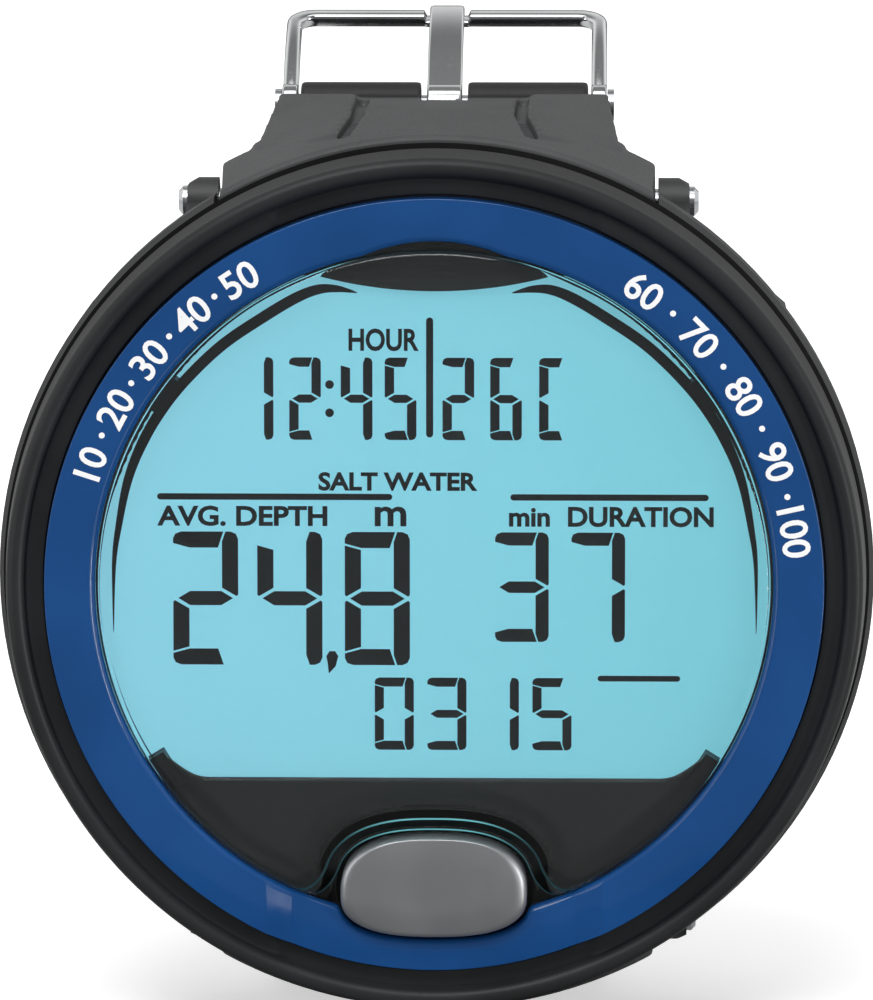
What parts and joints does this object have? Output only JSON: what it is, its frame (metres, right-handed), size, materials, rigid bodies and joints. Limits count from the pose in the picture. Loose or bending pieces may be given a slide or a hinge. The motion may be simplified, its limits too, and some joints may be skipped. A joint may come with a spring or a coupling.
{
  "type": "dive computer",
  "caption": "Round wrist dive computer with a large display window, a blue ring, one broad push button at six o'clock, a turn-lock battery hatch and a strap with a pin buckle.",
  "frame": {"origin": "centre of the flat case back", "axes": "+Y out of the case back toward the wrist, so the face looks along -Y; +Z toward 12 o'clock, which is up; +X to the wearer's right as the face is read"},
  "size_m": [0.07, 0.0997, 0.0789],
  "materials": {
    "case_plastic": "fine matt black moulding",
    "bezel_plastic": "satin black moulding",
    "accent_blue": "gloss dark blue",
    "lens_clear": "clear polished",
    "seal_rubber": "soft black",
    "mask_black": "matt black print",
    "display_glass": "pale cyan display",
    "guide_clear": "frosted clear",
    "carrier_plastic": "matt dark grey",
    "contact_rubber": "grey conductive rubber",
    "board_green": "solder mask green",
    "chip_black": "matt black",
    "small_steel": "bright steel",
    "led_white": "warm white",
    "cell_steel": "nickel plated",
    "contact_brass": "plated strip",
    "piezo_brass": "plain",
    "button_metal": "satin silver grey",
    "buckle_chrome": "polished",
    "strap_rubber": "fine matt dark grey",
    "hatch_plastic": "matt black",
    "hatch_seal": "soft brick red"
  },
  "bodies": {
    "case": {"case_body": "case_plastic", "bezel_ring": "bezel_plastic", "accent_ring": "accent_blue", "lens": "lens_clear", "lens_gasket": "seal_rubber", "display_mask": "mask_black", "lcd_panel": "display_glass", "light_guide": "guide_clear", "display_carrier": "carrier_plastic", "contact_strips": "contact_rubber", "circuit_board": "board_green", "processor_chip": "chip_black", "memory_chip": "chip_black", "clock_crystal": "small_steel", "backlight_leds": "led_white", "dome_switch": "small_steel", "board_screws": "small_steel", "pressure_sensor": "small_steel", "sensor_seal": "seal_rubber", "buzzer": "piezo_brass", "battery": "cell_steel", "battery_spring": "contact_brass", "battery_clip": "contact_brass", "battery_terminals": "contact_brass", "upper_strap_pins": "small_steel", "lower_strap_pins": "small_steel", "stem_seal": "seal_rubber", "seal_washer": "small_steel", "button_spring": "small_steel"},
    "button": {"button_cap": "button_metal", "button_stem": "small_steel", "stem_clip": "small_steel"},
    "battery_hatch": {"battery_cover": "hatch_plastic", "cover_seal": "hatch_seal"},
    "upper_strap": {"upper_strap": "strap_rubber", "buckle_bar": "small_steel"},
    "buckle": {"buckle_frame": "buckle_chrome"},
    "prong": {"buckle_prong": "buckle_chrome"},
    "lower_strap": {"lower_strap": "strap_rubber"}
  },
  "joints": [
    {"name": "button_press", "type": "slide", "parent": "case", "child": "button", "axis": [0, 1, 0], "range_m": [0, 0.0008], "stiffness_N_per_m": 900, "springref_m": -0.0008, "deforming": ["button_spring"]},
    {"name": "battery_hatch_turn", "type": "hinge", "parent": "case", "child": "battery_hatch", "pos_m": [0, 0, 0], "axis": [0, -1, 0], "range_deg": [0, 45]},
    {"name": "upper_strap_swing", "type": "hinge", "parent": "case", "child": "upper_strap", "pos_m": [0, -0.004, 0.02919], "axis": [-1, 0, 0], "range_deg": [0, 25]},
    {"name": "buckle_swing", "type": "hinge", "parent": "upper_strap", "child": "buckle", "pos_m": [0, 0.017, 0.03543], "axis": [1, 0, 0], "range_deg": [-45, 45]},
    {"name": "prong_swing", "type": "hinge", "parent": "buckle", "child": "prong", "pos_m": [0, 0.017, 0.03543], "axis": [1, 0, 0], "range_deg": [0, 55]},
    {"name": "lower_strap_swing", "type": "hinge", "parent": "case", "child": "lower_strap", "pos_m": [0, -0.004, -0.02919], "axis": [1, 0, 0], "range_deg": [0, 25]}
  ]
}
